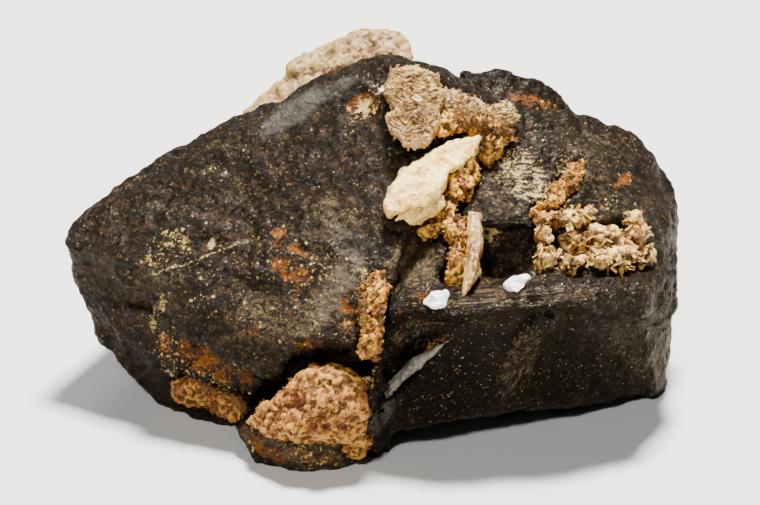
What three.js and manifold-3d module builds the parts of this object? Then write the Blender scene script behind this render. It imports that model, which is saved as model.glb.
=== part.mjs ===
// A hand specimen of ferberite after scheelite: dark, blunt crystals grown into one another, with quartz and
// ochre iron oxide along the join between them, in a pocket on the right and on the toe at the front.
// Units are millimetres, +Z is up, and the specimen stands on its broken flat base at z = 0.
//
// Every corner is given as it is read from the front, by someone VIEW_DISTANCE away who looks down on the specimen
// by VIEW_TILT_DEG: how far across (to the right), how far up that view, and how far toward the viewer.
import * as THREE from "three";
import { ConvexGeometry } from "three/addons/geometries/ConvexGeometry.js";
import { mergeVertices } from "three/addons/utils/BufferGeometryUtils.js";
import Module from "manifold-3d";

const wasm = await Module();
wasm.setup();

const VIEW_TILT_DEG = 25; // the front view looks down by this much
const VIEW_DISTANCE = 600; // from the viewer to the middle of the specimen
const BASE_LEVEL = -21.9; // where the broken base lies below the middle of that view
const ROCK_EDGE = 6.4; // longest triangle edge on the ferberite
const QUARTZ_EDGE = 4.4; // longest triangle edge on the quartz and the crusts
const BASE_REACH = 0.8; // corners this close to the base go on straight down through it
const SHORTEST_EDGE = 0.14; // shorter edges, left where two cuts nearly meet, are closed up
const MOST_TURN = 0.3; // least cosine between a triangle's facings before and after an edge is closed
const SEAM_GAP = 0.3; // room between a mineral and the one it grew on
const CUTTER = 120; // size of the block that cuts the base flat
const LUMP_UNEVENNESS = 0.24; // how much further out or in a lump's corners lie, as a share of its size
const MOST_TURNS = 12; // rounds of evening out a flat face's triangles

// The unevenness that every surface shares, largest first: each is a wavelength and a height.
const RELIEF = [
  { wavelength: 11, height: 0.9 },
  { wavelength: 5.2, height: 0.55 },
];

/** Turns a place in the front view into the specimen's own axes. What is further off is larger than it looks. */
function seen(across, up, toward) {
  const tilt = THREE.MathUtils.degToRad(VIEW_TILT_DEG);
  const real = 1 - toward / VIEW_DISTANCE;
  return new THREE.Vector3(
    across * real,
    up * real * Math.sin(tilt) - toward * Math.cos(tilt),
    up * real * Math.cos(tilt) + toward * Math.sin(tilt),
  );
}

/** A repeatable number from -1 to 1 for one corner of the noise lattice. */
function latticeValue(x, y, z, channel) {
  let bits = Math.imul(x, 374761393) ^ Math.imul(y, 668265263);
  bits ^= Math.imul(z, 1103515245) ^ Math.imul(channel + 1, 362437);
  bits = Math.imul(bits ^ (bits >>> 13), 1274126177);
  return ((bits ^ (bits >>> 16)) >>> 0) / 2147483647.5 - 1;
}

/** Smooth noise from -1 to 1 at a point, in lattice units. */
function smoothNoise(point, channel) {
  const low = point.clone().floor();
  const part = point.clone().sub(low);
  const ease = (t) => t * t * (3 - 2 * t);
  let sum = 0;
  for (let corner = 0; corner < 8; corner++) {
    const dx = corner & 1;
    const dy = (corner >> 1) & 1;
    const dz = corner >> 2;
    const share =
      (dx ? ease(part.x) : 1 - ease(part.x)) *
      (dy ? ease(part.y) : 1 - ease(part.y)) *
      (dz ? ease(part.z) : 1 - ease(part.z));
    sum += share * latticeValue(low.x + dx, low.y + dy, low.z + dz, channel);
  }
  return sum;
}

/** Moves a point by the shared unevenness. Minerals that touch are moved alike, so they still fit. */
function roughen(point) {
  const shift = new THREE.Vector3();
  for (const { wavelength, height } of RELIEF) {
    const at = point.clone().divideScalar(wavelength);
    shift.x += height * smoothNoise(at, 0);
    shift.y += height * smoothNoise(at, 1);
    shift.z += height * smoothNoise(at, 2);
  }
  return point.add(shift);
}

/** Splits every edge longer than the given length, until none is left. A triangle is [a, b, c, its flat face]. */
function refine(points, triangles, longest) {
  for (;;) {
    const middles = new Map();
    const middleOf = (a, b) => {
      if (points[a].distanceTo(points[b]) <= longest) return -1;
      const key = edgeKey(a, b);
      if (!middles.has(key)) {
        middles.set(key, points.length);
        points.push(points[a].clone().lerp(points[b], 0.5));
      }
      return middles.get(key);
    };
    const finer = triangles.flatMap(([a, b, c, face]) => split(a, b, c, face, middleOf));
    if (middles.size === 0) return triangles;
    triangles = evenOut(points, finer);
  }
}

/** One name for an edge, whichever end comes first. */
function edgeKey(a, b) {
  return a < b ? `${a} ${b}` : `${b} ${a}`;
}

/** One triangle cut at the middles of its long edges. */
function split(a, b, c, face, middleOf) {
  const ab = middleOf(a, b);
  const bc = middleOf(b, c);
  const ca = middleOf(c, a);
  const cuts = [ab, bc, ca].filter((m) => m >= 0).length;
  if (cuts === 0) return [[a, b, c, face]];
  if (cuts === 3) return [[a, ab, ca, face], [ab, b, bc, face], [ca, bc, c, face], [ab, bc, ca, face]];
  // Turned so that the first edge is cut, and with two cuts the second as well.
  if (ab < 0 || (cuts === 2 && bc < 0)) return split(b, c, a, face, middleOf);
  if (cuts === 1) return [[a, ab, c, face], [ab, b, c, face]];
  return [[ab, b, bc, face], [a, ab, c, face], [ab, bc, c, face]];
}

/** Turns the shared edge of two triangles of a flat face wherever that makes them less thin. */
function evenOut(points, triangles) {
  const angleAt = (tip, a, b) =>
    points[a].clone().sub(points[tip]).angleTo(points[b].clone().sub(points[tip]));
  for (let turned = true, round = 0; turned && round < MOST_TURNS; round++) {
    turned = false;
    const owners = new Map();
    triangles.forEach(([a, b, c], index) => {
      for (const [from, to, tip] of [[a, b, c], [b, c, a], [c, a, b]]) {
        const key = edgeKey(from, to);
        if (!owners.has(key)) owners.set(key, []);
        owners.get(key).push({ index, from, to, tip });
      }
    });
    const changed = new Set();
    for (const [one, other] of owners.values()) {
      const face = triangles[one.index][3];
      if (face !== triangles[other.index][3]) continue;
      if (changed.has(one.index) || changed.has(other.index)) continue;
      const { from, to, tip } = one;
      if (angleAt(tip, from, to) + angleAt(other.tip, from, to) <= Math.PI + 1e-3) continue;
      triangles[one.index] = [tip, from, other.tip, face];
      triangles[other.index] = [other.tip, to, tip, face];
      changed.add(one.index).add(other.index);
      turned = true;
    }
  }
  return triangles;
}

/** Closes up a surface's shortest edges. The lower end of an edge stays, so that the base stays flat. */
function withoutShortEdges(points, triangles) {
  const around = points.map(() => new Set());
  triangles.forEach((corners, index) => corners.forEach((corner) => around[corner].add(index)));
  const facing = (corners) => new THREE.Triangle(...corners.map((c) => points[c])).getNormal(new THREE.Vector3());
  const neighbours = (corner) => new Set([...around[corner]].flatMap((index) => triangles[index]));
  const close = (kept, gone) => {
    const shared = [...neighbours(kept)].filter((corner) => neighbours(gone).has(corner));
    if (shared.length !== 4) return false; // the edge's own two ends and the tips of its two triangles
    const moved = [...around[gone]].filter((index) => !around[kept].has(index));
    const closed = (index) => triangles[index].map((corner) => (corner === gone ? kept : corner));
    const thin = (index) => new THREE.Triangle(...triangles[index].map((c) => points[c])).getArea() < 1e-4;
    if (moved.some((i) => !thin(i) && facing(triangles[i]).dot(facing(closed(i))) < MOST_TURN)) return false;
    for (const index of around[gone]) {
      if (!around[kept].has(index)) continue;
      for (const corner of triangles[index]) if (corner !== gone) around[corner].delete(index);
      triangles[index] = null;
    }
    for (const index of moved) {
      triangles[index] = closed(index);
      around[kept].add(index);
    }
    around[gone].clear();
    return true;
  };
  for (let changed = true; changed; ) {
    changed = false;
    for (let index = 0; index < triangles.length; index++) {
      for (let side = 0; triangles[index] && side < 3; side++) {
        const ends = [triangles[index][side], triangles[index][(side + 1) % 3]];
        if (points[ends[0]].distanceTo(points[ends[1]]) >= SHORTEST_EDGE) continue;
        const [low, high] = ends.sort((a, b) => points[a].z - points[b].z);
        if (close(low, high)) changed = true;
      }
    }
  }
  return triangles.filter((corners) => corners);
}

/** The closed, uneven solid whose flat faces join the outermost of the given corners. */
function block(corners, longestEdge) {
  const hull = new ConvexGeometry(corners);
  hull.deleteAttribute("normal");
  const merged = mergeVertices(hull, 1e-4);
  const place = merged.attributes.position;
  const points = [];
  for (let i = 0; i < place.count; i++) points.push(new THREE.Vector3().fromBufferAttribute(place, i));
  const coarse = [];
  for (let i = 0; i < merged.index.count; i += 3) {
    const [a, b, c] = merged.index.array.slice(i, i + 3);
    const facing = new THREE.Triangle(points[a], points[b], points[c]).getNormal(new THREE.Vector3());
    coarse.push([a, b, c, facing.toArray().map((n) => n.toFixed(3)).join(" ")]);
  }
  const triangles = refine(points, evenOut(points, coarse), longestEdge).map((t) => t.slice(0, 3));
  const vertProperties = new Float32Array(points.flatMap((p) => roughen(p).toArray()));
  return new wasm.Manifold(
    new wasm.Mesh({ numProp: 3, vertProperties, triVerts: new Uint32Array(triangles.flat()) }),
  );
}

/** A block of ferberite from rows of [across, up, toward]. Its lowest corners go on down, past the base. */
function rock(rows) {
  const corners = rows.map((row) => seen(...row));
  const low = corners.filter((corner) => corner.z < BASE_LEVEL + BASE_REACH);
  const below = low.map((corner) => corner.clone().setZ(BASE_LEVEL - 3 * BASE_REACH));
  return block([...corners, ...below], ROCK_EDGE);
}

/** Corners of a broken, many-sided lump of quartz or crust, grown on all sides by the given amount. */
function lumpCorners({ at, size }, grown) {
  const chance = (corner) => latticeValue(corner, Math.round(at[0] * 10), Math.round(at[1] * 10), 7);
  const shape = new THREE.IcosahedronGeometry(1, 0).rotateX(chance(20) * 3).rotateY(chance(21) * 3);
  const place = mergeVertices(shape.deleteAttribute("normal").deleteAttribute("uv"), 1e-4).attributes.position;
  const corners = [];
  for (let i = 0; i < place.count; i++) {
    const [x, y, z] = new THREE.Vector3().fromBufferAttribute(place, i).toArray();
    const bulge = 1 + LUMP_UNEVENNESS * chance(i);
    corners.push(
      seen(
        at[0] + x * (size[0] * bulge + grown),
        at[1] + y * (size[1] * bulge + grown),
        at[2] + z * (size[2] * bulge + grown),
      ),
    );
  }
  return corners;
}

/** Corners of a plate from its rim in the front view and how deep it is set, grown on all sides. */
function plateCorners({ rim, depth }, grown) {
  const middle = rim.reduce((sum, row) => sum.map((value, axis) => value + row[axis] / rim.length), [0, 0, 0]);
  const corners = [];
  for (const [across, up, toward] of rim) {
    const reach = Math.hypot(across - middle[0], up - middle[1]);
    const outward = [(across - middle[0]) / reach, (up - middle[1]) / reach];
    for (const [level, inset] of [[toward + grown, 0], [toward - depth / 2, -0.1], [toward - depth - grown, 0.3]]) {
      const out = grown * 1.2 - inset * Math.min(reach, depth);
      corners.push(seen(across + outward[0] * out, up + outward[1] * out, level));
    }
  }
  return corners;
}

/** Corners of a six-sided crystal from its foot to its pointed end, grown on all sides. */
function crystalCorners({ foot, tip, width, thickness, taper = 0.62 }, grown) {
  const start = seen(...foot);
  const end = seen(...tip);
  const along = end.clone().sub(start).normalize();
  const side = along.clone().cross(seen(0, 0, 1)).normalize();
  const front = side.clone().cross(along).normalize();
  start.addScaledVector(along, -grown);
  end.addScaledVector(along, 2 * grown);
  const shoulder = start.clone().lerp(end, taper);
  const corners = [end];
  for (const [centre, share] of [[start, 0.8], [shoulder, 1]]) {
    for (let i = 0; i < 6; i++) {
      const angle = (i / 6) * 2 * Math.PI;
      corners.push(
        centre
          .clone()
          .addScaledVector(side, Math.cos(angle) * (share * width / 2 + 1.15 * grown))
          .addScaledVector(front, Math.sin(angle) * (share * thickness / 2 + 1.15 * grown)),
      );
    }
  }
  return corners;
}

/** Corners of any bit of a mineral. */
function cornersOf(bit, grown) {
  if (bit.rim) return plateCorners(bit, grown);
  return bit.foot ? crystalCorners(bit, grown) : lumpCorners(bit, grown);
}

/** Everything that a mineral's bits make together, as one solid. */
function grownTogether(bits, grown = 0) {
  return wasm.Manifold.union(
    bits.map((bit) => block(cornersOf(bit, grown), QUARTZ_EDGE)),
  );
}

// Ferberite. Rows are [across, up, toward].
// The large crystal: the broad face to the left, its bevel along the top and the short slope right of the peak.
const LARGE_CRYSTAL = [
  [-27.6, 7.8, -4.4], [1.8, 22.8, 0.6], [8.0, 20.6, 1.6], [4.4, 2.4, 8.7],
  [-1.6, -11.2, 11.4], [-12, -10.2, 7.4], [-26.4, -4, 0.2], [-37.2, 1.2, -5.6],
  [-36.2, 3.8, -8], [-32.2, 6.4, -10], [-27, 10.4, -9.5], [-13.8, 17.4, -8.5], [1.8, 24.2, -4.4],
  [9, 22, -6.4], [17.6, 16.4, -8], [-35.4, -1.8, -9], [-33.2, -6, -11], [-2, -15, 0],
  [-14, -16, -5], [-27, -13, -14], [-12, -17.6, -14], [-2, -20.4, -8], [-29, 3, -24],
  [-25, -9, -25], [-20, 9, -28], [-6, 15, -25], [10, 9, -30], [4, -10.5, -27],
];
// The low lobe whose upper edge crosses the broad face.
const LOBE = [
  [-25.8, -2.6, 1.8], [-15.2, 1.4, 3.8], [-26.4, -7.6, 0.6], [-23.4, -10.2, 1.4],
  [-16.9, -13.6, 3.4], [-12.6, -15, 4.4], [-9, -11.4, 7.8], [-5, -2, 8],
  [-20, -12, -8], [-10, -13, -4], [-12, 0, -4], [-25, -6, -8],
];
// The shelf under the lobe, which makes the lower left outline.
const LEFT_SHELF = [
  [-33.4, -5, -9.5], [-27, -7.6, -3.4], [-19, -12, 0], [-13.4, -15.6, 1],
  [-15.4, -20.6, -4], [-18.8, -20, -7], [-22.2, -18.4, -10], [-26.4, -16, -12],
  [-29.6, -13.2, -13], [-32, -9.6, -12.5], [-18, -8, -20], [-22, -12, -24],
  [-10, -16, -16],
];
// The toe at the front, which carries the lower quartz.
const TOE = [
  [-16, -21.8, 1.4], [-15.4, -23.2, 2.4], [-12.2, -25.8, 3.8], [-10.4, -26.8, 4.8],
  [-5.6, -26.6, 4.4], [0.6, -25, 1.2], [-13.4, -19.6, 5.6], [-5, -15.6, 7.6],
  [0, -15, 8.4], [1, -18, 7], [0, -20, -6], [-14, -19.4, -7],
];
// The crystal on the right: its upper faces, its dark lower faces and its rounded end.
const RIGHT_CRYSTAL = [
  [18, 16.4, -3.4], [27.2, 15.2, -9], [12.4, 3.6, 8], [21, 3.4, 7.2],
  [26.6, 10.6, 0.4], [30, 15.9, -10], [33, 14.2, -10.5], [34.8, 11, -10.5], [35.4, -2.4, -2], [31, -2.8, 4],
  [9.6, -6, 12.4], [22.8, -5.8, 11], [32.4, -5.4, 5.2], [1.2, -7, 11.4],
  [0.4, -14.4, 8], [0.4, -24.4, 0.6], [6, -21.5, -2.9],
  [19.2, -17.8, -10.2], [27.6, -18, -12.1], [33, -18.4, -12.6], [34.8, -17.6, -13.6], [35.6, -9, -8.4],
  [36.6, 6.4, -14], [36.8, -2, -12], [35.6, -13, -15], [32, 14.6, -17],
  [33, -12, -24], [30, 6, -27], [27, -10, -29], [6, -10.5, -28], [12, 4, -29],
];
// The long rounded ledge between the upper and the lower faces of the right crystal.
const LEDGE = [
  [1.8, -7.4, 12.2], [9.6, -5.2, 13.4], [9.6, -7.4, 13.6], [22.8, -4.2, 13],
  [22.8, -7.3, 12.8], [32.4, -3.2, 7.8], [32.4, -7.1, 7.4], [36.6, -2.6, -1.6],
  [36.4, -6.6, -1.8], [35.6, -8.8, -4.6], [36.4, -3, -8], [35.6, -9, -9], [9, -6, 6], [22, -5, 5], [31, -4, 0],
];
// A smaller crystal behind, seen over the shoulder of the right one.
const REAR_CRYSTAL = [
  [11, 20.7, -13], [16.8, 21.2, -15.5], [21.2, 19.9, -17], [23, 18.6, -18],
  [24.4, 16.4, -19], [17, 14, -10], [25, 9, -20], [8, 15, -24], [17, 12, -29], [24, 7, -27],
  [12, 4, -26],
];
// The low ridge that runs down the dark lower face, and steps of growth on the shelf and the back.
const LOWER_RIDGE = [
  [19.6, -8.2, 11.4], [22.6, -8.4, 10.6], [18.6, -13.4, 5], [15.4, -14, 4.9], [13.4, -19.8, -4.6],
  [16.8, -19.4, -7], [18, -12, 0], [16, -18, -9], [21, -9, 6],
];
const SHELF_STEP = [
  [-30.6, -8.6, -8.2], [-25.4, -8.8, -3.4], [-20.4, -13.2, -0.8], [-23.4, -15.6, -4.8], [-28.2, -13.2, -9],
  [-25, -11, -12],
];
// Steps of growth on the back, which the front view doesn't show.
const BACK_LEFT_STEP = [
  [-26, 3, -27], [-11, 10, -30], [-4, 2, -31.4], [-10, -6, -30.6], [-22, -4, -28.6],
  [-28, 5, -22], [-9, 12.6, -24], [-1, 2, -25], [-9, -8.6, -25], [-24.6, -6.4, -23],
];
const BACK_RIGHT_STEP = [
  [7, 4.4, -30.8], [19, 9, -31.2], [27, 0, -30.2], [25, -7.6, -29.6], [11, -7, -31],
  [5, 6, -25], [20, 11.4, -25], [29.6, 0, -25], [27.4, -9.4, -25], [9, -9, -25],
];
const BACK_FOOT = [
  [-17, -9, -27.6], [1, -6, -31], [7, -11.6, -27.6], [-4, -16, -19], [-17, -15.4, -19],
  [-19, -7, -22], [2, -3.6, -24], [9, -11, -22],
];
const CRYSTALS = [LARGE_CRYSTAL, LOBE, LEFT_SHELF, TOE, RIGHT_CRYSTAL, LEDGE, REAR_CRYSTAL];
const GROWTH_STEPS = [LOWER_RIDGE, SHELF_STEP, BACK_LEFT_STEP, BACK_RIGHT_STEP, BACK_FOOT];
// What is missing from the crystals: the facet that leans back under the vein, the dark step and the pocket on
// the right crystal, the cleft above the toe and the slot beside the diagonal seam.
const LEANING_FACET = [
  [4.2, 2.6, 5.8], [1.0, -6.8, 11.2], [10.4, -5, 11.6],
  [4.2, 2.6, 22], [1.0, -6.8, 22], [10.4, -5, 22],
];
const DARK_STEP = [
  [12.8, 3.2, 6.8], [20.2, 3, 6], [12.8, -3.4, 5], [15.6, -3.8, 5], [19.8, -2, 4.6],
  [12.8, 3.2, 22], [20.2, 3, 22], [12.8, -3.6, 22], [15.6, -4, 22], [20, -2.2, 22],
];
const POCKET_HOLLOW = [
  [20.4, -1, 20], [20.8, 3.6, 20], [24.6, 5.2, 20], [32, 4.6, 20], [33, 0.6, 20], [31.4, -2.2, 20], [23, -2.6, 20],
  [22.2, -0.4, 5.2], [23, 3, 3.4], [30.6, 3.2, -1.2], [31, -0.2, 1], [26, -1, 4.6],
];
const CLEFT = [
  [-1.4, -11, 16], [-3.4, -13.8, 16], [-16.4, -21.6, 12], [-14.6, -17.4, 14], [-9, -11.8, 16],
  [-2.4, -11.6, 2], [-4, -13.4, 2], [-15.6, -20.6, -3], [-13, -16.6, -2], [-9, -12.6, 1],
];
// Broken away under the right crystal, along the line of sight.
const UNDERCUT = [-20, 20].flatMap((toward) => [
  [2, -26.4, toward], [15.6, -22, toward], [19.2, -21.2, toward], [24, -20.6, toward], [30.4, -20.2, toward],
  [37, -20, toward], [2, -30, toward], [37, -30, toward],
]);
const SEAM_SLOT = [
  [1.4, -13.2, 18], [7.4, -8.6, 18], [9, -10.2, 18], [2, -17.2, 18],
  [1.4, -13.6, 6.2], [7.4, -9, 9], [8.8, -10.2, 9], [2, -16.8, 3.6],
];
const MISSING = [LEANING_FACET, DARK_STEP, POCKET_HOLLOW, CLEFT, UNDERCUT, SEAM_SLOT];

// Quartz and crusts. A lump has its middle and half sizes; a crystal its foot, tip, width and thickness; a plate
// the rim of its front and its depth.
const QUARTZ_BEHIND_PEAK = [
  {
    rim: [[-14.4, 16.6, -9], [-12.9, 18.2, -9.6], [-9.4, 20.6, -10.2], [-6, 21.4, -10], [-4, 18, -9]],
    depth: 7,
  },
  {
    rim: [[-9.4, 19, -10], [-8.7, 22.4, -11], [-6.2, 23.8, -11.4], [-3, 25, -11.6], [0, 24, -11], [-2, 19, -10]],
    depth: 9,
  },
  {
    rim: [[-4, 21, -10.4], [-2.6, 25, -11], [-0.6, 26.1, -11], [2.4, 26.1, -10.4], [4.3, 24.9, -10], [4.6, 22.6, -9],
      [2, 20, -9.4]],
    depth: 7,
  },
  { at: [-7, 19.4, -18.4], size: [4.4, 4.2, 4.6] },
  { at: [-0.4, 21, -18], size: [4.6, 4, 4.4] },
];
const UPPER_PLATE = [
  {
    rim: [[1.7, 19.8, 4], [2.6, 21.4, 3.6], [5, 21.8, 3.4], [7.2, 20.9, 3.6], [8.8, 19, 4.4], [8.6, 16.8, 5.2],
      [3.4, 16.6, 5.6], [2.4, 18.2, 4.8]],
    depth: 2.8,
  },
  {
    rim: [[2.6, 16.2, 6], [2.6, 15, 6.6], [4.2, 13.2, 7], [6.6, 13, 6.8], [8, 14.8, 6.2], [8.8, 16, 5.8], [7, 18.2, 5.4],
      [4, 18, 5.8]],
    depth: 2.6,
  },
];
const SHOULDER_PLATE = [
  {
    rim: [[8.8, 18.2, 3], [10, 18.9, 2.6], [11.2, 18.2, 2.4], [13.4, 17.7, 1.8], [14.4, 16.2, 2.2], [14.4, 15, 2.6],
      [11, 15.8, 3.4]],
    depth: 2.4,
  },
  {
    rim: [[14, 16.6, 1.8], [15.4, 17.2, 1.4], [17, 17.3, 0.8], [17.8, 15.8, 0.8], [16.6, 14.5, 1.6], [14.2, 15, 2.2]],
    depth: 2.4,
  },
];
const BLADE = [
  {
    rim: [[2.2, 4.8, 10], [2.3, 6, 9.6], [3.6, 8.4, 8.6], [5, 9.8, 7.8], [8.4, 11.7, 6.4], [9.8, 9.6, 8], [8.2, 7.2, 9.4],
      [6.4, 5.6, 10.2]],
    depth: 3.2,
  },
  {
    rim: [[7, 10.8, 7.2], [8.6, 11.8, 6.4], [12, 13.2, 4.6], [13.6, 13.4, 3.6], [13, 12, 4.8], [10, 9.6, 7.8]],
    depth: 2.8,
  },
  { foot: [8.4, 6, 7.6], tip: [2.8, 3.6, 9.8], width: 2.2, thickness: 2.2 },
];
const UPPER_VEIN_CRUST = [
  { at: [10.2, 15.4, 2.6], size: [3.2, 2.2, 2.6] },
  { at: [13.6, 14.8, 1.8], size: [3.4, 1.8, 2.4] },
  { at: [16, 13.8, 1], size: [2.2, 1.5, 2.2] },
  { at: [14.4, 12.4, 2.6], size: [2, 2.2, 2.2] },
];
const LOWER_VEIN_CRUST = [
  { at: [12.4, 9.6, 4.4], size: [2.2, 2.4, 2.4] },
  { at: [10.8, 7, 5], size: [2.8, 3, 2.6] },
  { at: [8.8, 4.4, 5.4], size: [3.3, 3, 2.6] },
  { at: [7, 2.6, 6.6], size: [2.8, 1.5, 2.4] },
  { at: [10.2, 2, 7.4], size: [2.2, 3, 2.6] },
  { at: [9.8, -1.6, 9.2], size: [2, 3.1, 2.6] },
];
const SPLINTER = [
  { foot: [12.8, 4.4, 8], tip: [10.8, -5.6, 12.8], width: 2.2, thickness: 2 },
  { foot: [11.6, 0, 9.8], tip: [11.2, -4.4, 12.4], width: 1.7, thickness: 1.5 },
];
const POCKET = [
  { at: [26.2, 0.8, 3.4], size: [6, 3, 2.4] },
  { at: [20.6, -1.2, 8.2], size: [1.8, 1.9, 2.4] },
  { at: [21, 1.6, 7], size: [1.5, 2.1, 2.4] },
  { at: [22.4, 4, 5.8], size: [2.2, 1.5, 2.4] },
  { at: [25.4, 4.5, 4.2], size: [2.3, 1.4, 2.4] },
  { at: [24.8, 1, 5.4], size: [2, 2.1, 2.4] },
  { at: [23.4, -2, 8.2], size: [2.4, 1.5, 2.4] },
  { at: [26.8, -1.7, 7], size: [2.6, 1.6, 2.6] },
  { at: [29.8, -0.8, 4.8], size: [2.2, 1.8, 2.6] },
  { at: [32, -1.2, 2.8], size: [1.8, 1.5, 2.4] },
  { at: [31.8, 2.2, 1.8], size: [1.5, 2.4, 2.4] },
];
const SLOPE_PATCH = [
  {
    rim: [[20.2, 4, 7.4], [20.4, 6.2, 6.4], [22.4, 7.2, 5.2], [23.6, 6, 5.6], [21.8, 4.2, 7]],
    depth: 2,
  },
  {
    rim: [[21.8, 6, 6], [22.2, 8.6, 4], [24.4, 9.8, 2.6], [25.6, 8.2, 3.6], [23.8, 6, 5.2]],
    depth: 2,
  },
  {
    rim: [[23.6, 8.2, 4], [24.4, 10.8, 1.6], [26.6, 11.4, 0.4], [27, 9.8, 1.8], [25.6, 7.8, 3.8]],
    depth: 2,
  },
];
const TOE_QUARTZ = [
  {
    rim: [[-14.9, -20.9, 5.4], [-13, -18.5, 7], [-10.2, -16.6, 8.6], [-8.8, -14.7, 9.2], [-7, -13.9, 9.4],
      [-3.8, -14.2, 9.8], [-1.2, -16.2, 10.4], [-6, -18.4, 12.4], [-0.8, -19.8, 10], [-3.8, -22.7, 9.6],
      [-6.4, -22.2, 11], [-9.6, -20.9, 10.4], [-12.2, -21.6, 8.2]],
    depth: 5,
  },
  { at: [-2.4, -20.8, 7.6], size: [2.2, 3, 3] },
  { at: [-2.4, -23.6, 4.2], size: [2.1, 1.9, 2.8] },
];
const OCHRE_VEIN = [
  {
    rim: [[0.1, -2.4, 10.8], [1.5, -2.3, 11], [1.2, -4.8, 12.2], [1, -7.6, 12.6], [-1.6, -6.4, 12],
      [-2, -4.4, 11.4], [-0.7, -3.2, 11]],
    depth: 2.4,
  },
  {
    rim: [[1.2, -6.6, 12.6], [1.3, -9.6, 12.6], [0.9, -12.4, 12.4], [-2, -11.4, 12.6], [-1.4, -9, 12.6],
      [-1.7, -5.8, 12]],
    depth: 2.8,
  },
  { rim: [[1, -11.4, 12.4], [0.6, -13.4, 11.8], [-1.6, -13, 12], [-2.1, -11, 12.6]], depth: 2.8 },
];
const DIAGONAL_SEAM = [
  { foot: [2, -17.4, 4.4], tip: [9.8, -9.8, 10.6], width: 1.9, thickness: 1.9, taper: 0.5 },
  { foot: [2.6, -17, 4.2], tip: [-0.4, -21.4, 1.6], width: 1.2, thickness: 2.4, taper: 0.5 },
];
const LEFT_CHIP = [
  { rim: [[5.8, -5.9, 13], [7.2, -4.9, 12.8], [8.8, -4.5, 12.8], [8.4, -6, 13.4], [6.6, -6.4, 13.4]], depth: 1.2 },
];
const RIGHT_CHIP = [
  { rim: [[15.4, -4.1, 13.2], [16.8, -3.5, 13], [18.2, -3.5, 12.8], [17.8, -4.8, 13.6], [16.8, -5.3, 14]], depth: 1.4 },
];
const SHELF_QUARTZ = [
  {
    rim: [[-23.3, -15.6, -5.6], [-21.6, -15.2, -4.4], [-19, -16.2, -2.6], [-15.8, -18, -0.6], [-14.6, -19.4, -1],
      [-16, -20.2, -2.4], [-19, -19.2, -4.6], [-22.6, -17.6, -7]],
    depth: 2.2,
  },
];

// Attached minerals, by node name. Each gives way to those before it where two meet.
const ATTACHED = [
  ["quartz_behind_peak", QUARTZ_BEHIND_PEAK, "quartz_cream"],
  ["quartz_blade", BLADE, "quartz_cream"],
  ["quartz_splinter", SPLINTER, "quartz_cream"],
  ["quartz_upper_plate", UPPER_PLATE, "quartz_clear"],
  ["quartz_shoulder_plate", SHOULDER_PLATE, "quartz_clear"],
  ["white_chip_left", LEFT_CHIP, "quartz_white"],
  ["white_chip_right", RIGHT_CHIP, "quartz_white"],
  ["upper_vein_crust", UPPER_VEIN_CRUST, "iron_oxide"],
  ["lower_vein_crust", LOWER_VEIN_CRUST, "iron_oxide"],
  ["pocket_crust", POCKET, "quartz_cream"],
  ["slope_patch", SLOPE_PATCH, "iron_oxide"],
  ["quartz_on_toe", TOE_QUARTZ, "quartz_stained"],
  ["ochre_vein", OCHRE_VEIN, "iron_oxide"],
  ["diagonal_seam", DIAGONAL_SEAM, "quartz_clear"],
  ["shelf_quartz", SHELF_QUARTZ, "quartz_stained"],
];

const FINISHES = {
  ferberite: { color: "#3a302a", roughness: 0.45, metalness: 0.25 },
  quartz_cream: { color: "#d9c6a2", roughness: 0.5, metalness: 0 },
  quartz_clear: { color: "#b5a284", roughness: 0.35, metalness: 0 },
  quartz_white: { color: "#f2efe6", roughness: 0.55, metalness: 0 },
  quartz_stained: { color: "#b78d5c", roughness: 0.65, metalness: 0 },
  iron_oxide: { color: "#b07a3c", roughness: 0.85, metalness: 0 },
};

/** The crystals of ferberite, grown into one another, before anything is let into them. */
function bareFerberite() {
  const grown = wasm.Manifold.union(
    [...CRYSTALS, ...GROWTH_STEPS].map(rock),
  );
  const missing = wasm.Manifold.union(MISSING.map(rock));
  return grown.subtract(missing);
}

/** A solid without anything below the broken base. */
function standing(solid) {
  const below = new THREE.BoxGeometry(CUTTER, CUTTER, CUTTER).translate(0, 0, BASE_LEVEL - CUTTER / 2);
  below.deleteAttribute("normal").deleteAttribute("uv");
  const merged = mergeVertices(below);
  return solid.subtract(
    new wasm.Manifold(
      new wasm.Mesh({
        numProp: 3,
        vertProperties: new Float32Array(merged.attributes.position.array),
        triVerts: new Uint32Array(merged.index.array),
      }),
    ),
  );
}

/** A named mesh of a solid. */
function meshOf(name, solid, finish) {
  const { vertProperties, triVerts } = solid.getMesh();
  const points = [];
  for (let i = 0; i < vertProperties.length; i += 3) points.push(new THREE.Vector3().fromArray(vertProperties, i));
  const triangles = [];
  for (let i = 0; i < triVerts.length; i += 3) triangles.push([...triVerts.slice(i, i + 3)]);
  const corners = withoutShortEdges(points, triangles).flatMap((triangle) => triangle.map((c) => points[c]));
  const geometry = mergeVertices(new THREE.BufferGeometry().setFromPoints(corners), 1e-5);
  geometry.computeVertexNormals();
  const mesh = new THREE.Mesh(geometry, new THREE.MeshStandardMaterial(FINISHES[finish]));
  mesh.name = name;
  return mesh;
}

/** The largest connected body of a solid, which drops crumbs that a cut left loose. */
function mainBody(solid) {
  return solid.decompose().reduce((a, b) => (a.volume() > b.volume() ? a : b));
}

let ferberite = bareFerberite();
const specimen = new THREE.Group();
let taken = null;
for (const [name, bits, finish] of ATTACHED) {
  const whole = grownTogether(bits);
  const free = taken ? whole.subtract(taken) : whole;
  const socket = grownTogether(bits, SEAM_GAP);
  taken = taken ? taken.add(socket) : socket;
  ferberite = ferberite.subtract(socket);
  specimen.add(meshOf(name, mainBody(standing(free)), finish));
}
specimen.add(meshOf("ferberite_crystals", mainBody(standing(ferberite)), "ferberite"));

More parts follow.
